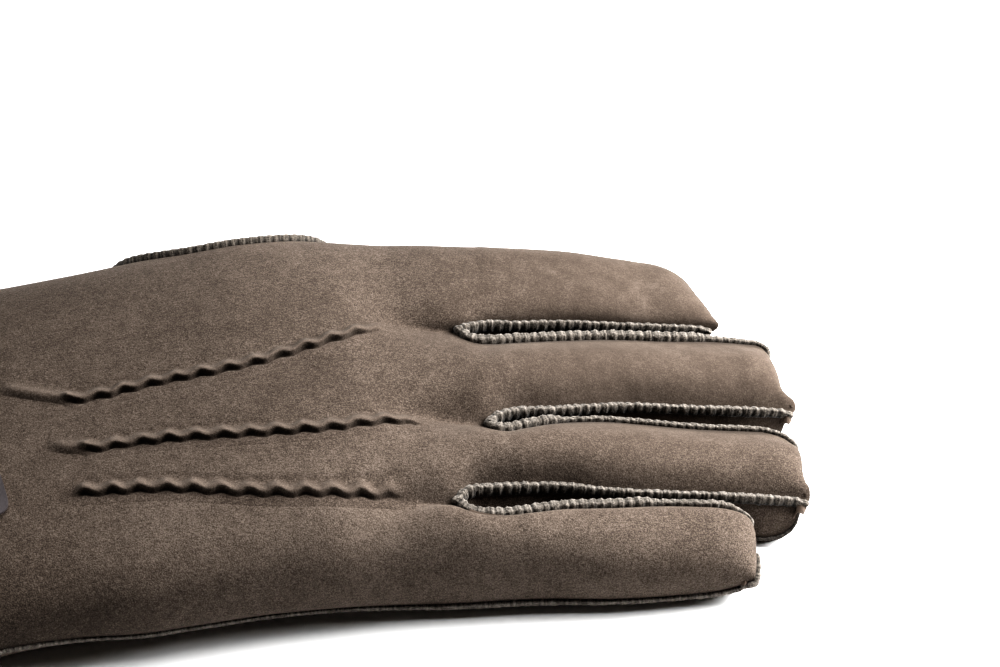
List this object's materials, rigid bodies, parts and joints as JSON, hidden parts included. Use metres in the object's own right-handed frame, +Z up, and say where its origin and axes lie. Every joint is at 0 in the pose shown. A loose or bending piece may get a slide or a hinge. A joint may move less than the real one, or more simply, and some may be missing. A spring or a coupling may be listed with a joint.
{
  "type": "hand-sewn suede glove, right hand",
  "caption": "Dress glove of brown suede with raised overcast seams and wavy tucks on the back, lying on its palm, hollow and open at the cuff.",
  "frame": {"origin": "middle of the glove's box at the surface that it lies on", "axes": "+X from the cuff to the fingertips, +Y from the little finger to the thumb, +Z up out of the back of the hand"},
  "size_m": [0.2474, 0.148, 0.0387],
  "materials": {
    "suede": "matte napped suede",
    "overcast_edge": "raw cut edges bound with matching thread",
    "dark_hide": "smooth dark hide"
  },
  "bodies": {
    "root": {"back_panel": "suede", "palm_panel": "suede", "thumb": "suede", "side_strip_little_ring": "suede", "side_strip_ring_middle": "suede", "side_strip_middle_index": "suede", "tuck_little": "suede", "tuck_ring": "suede", "tuck_index": "suede", "seam_back_little_ring": "overcast_edge", "seam_back_ring_middle": "overcast_edge", "seam_back_middle_index": "overcast_edge", "seam_palm_little_ring": "overcast_edge", "seam_palm_ring_middle": "overcast_edge", "seam_palm_middle_index": "overcast_edge", "seam_tip_index": "overcast_edge", "seam_outer": "overcast_edge", "seam_thumb": "overcast_edge", "wrist_tab": "dark_hide"}
  },
  "joints": []
}
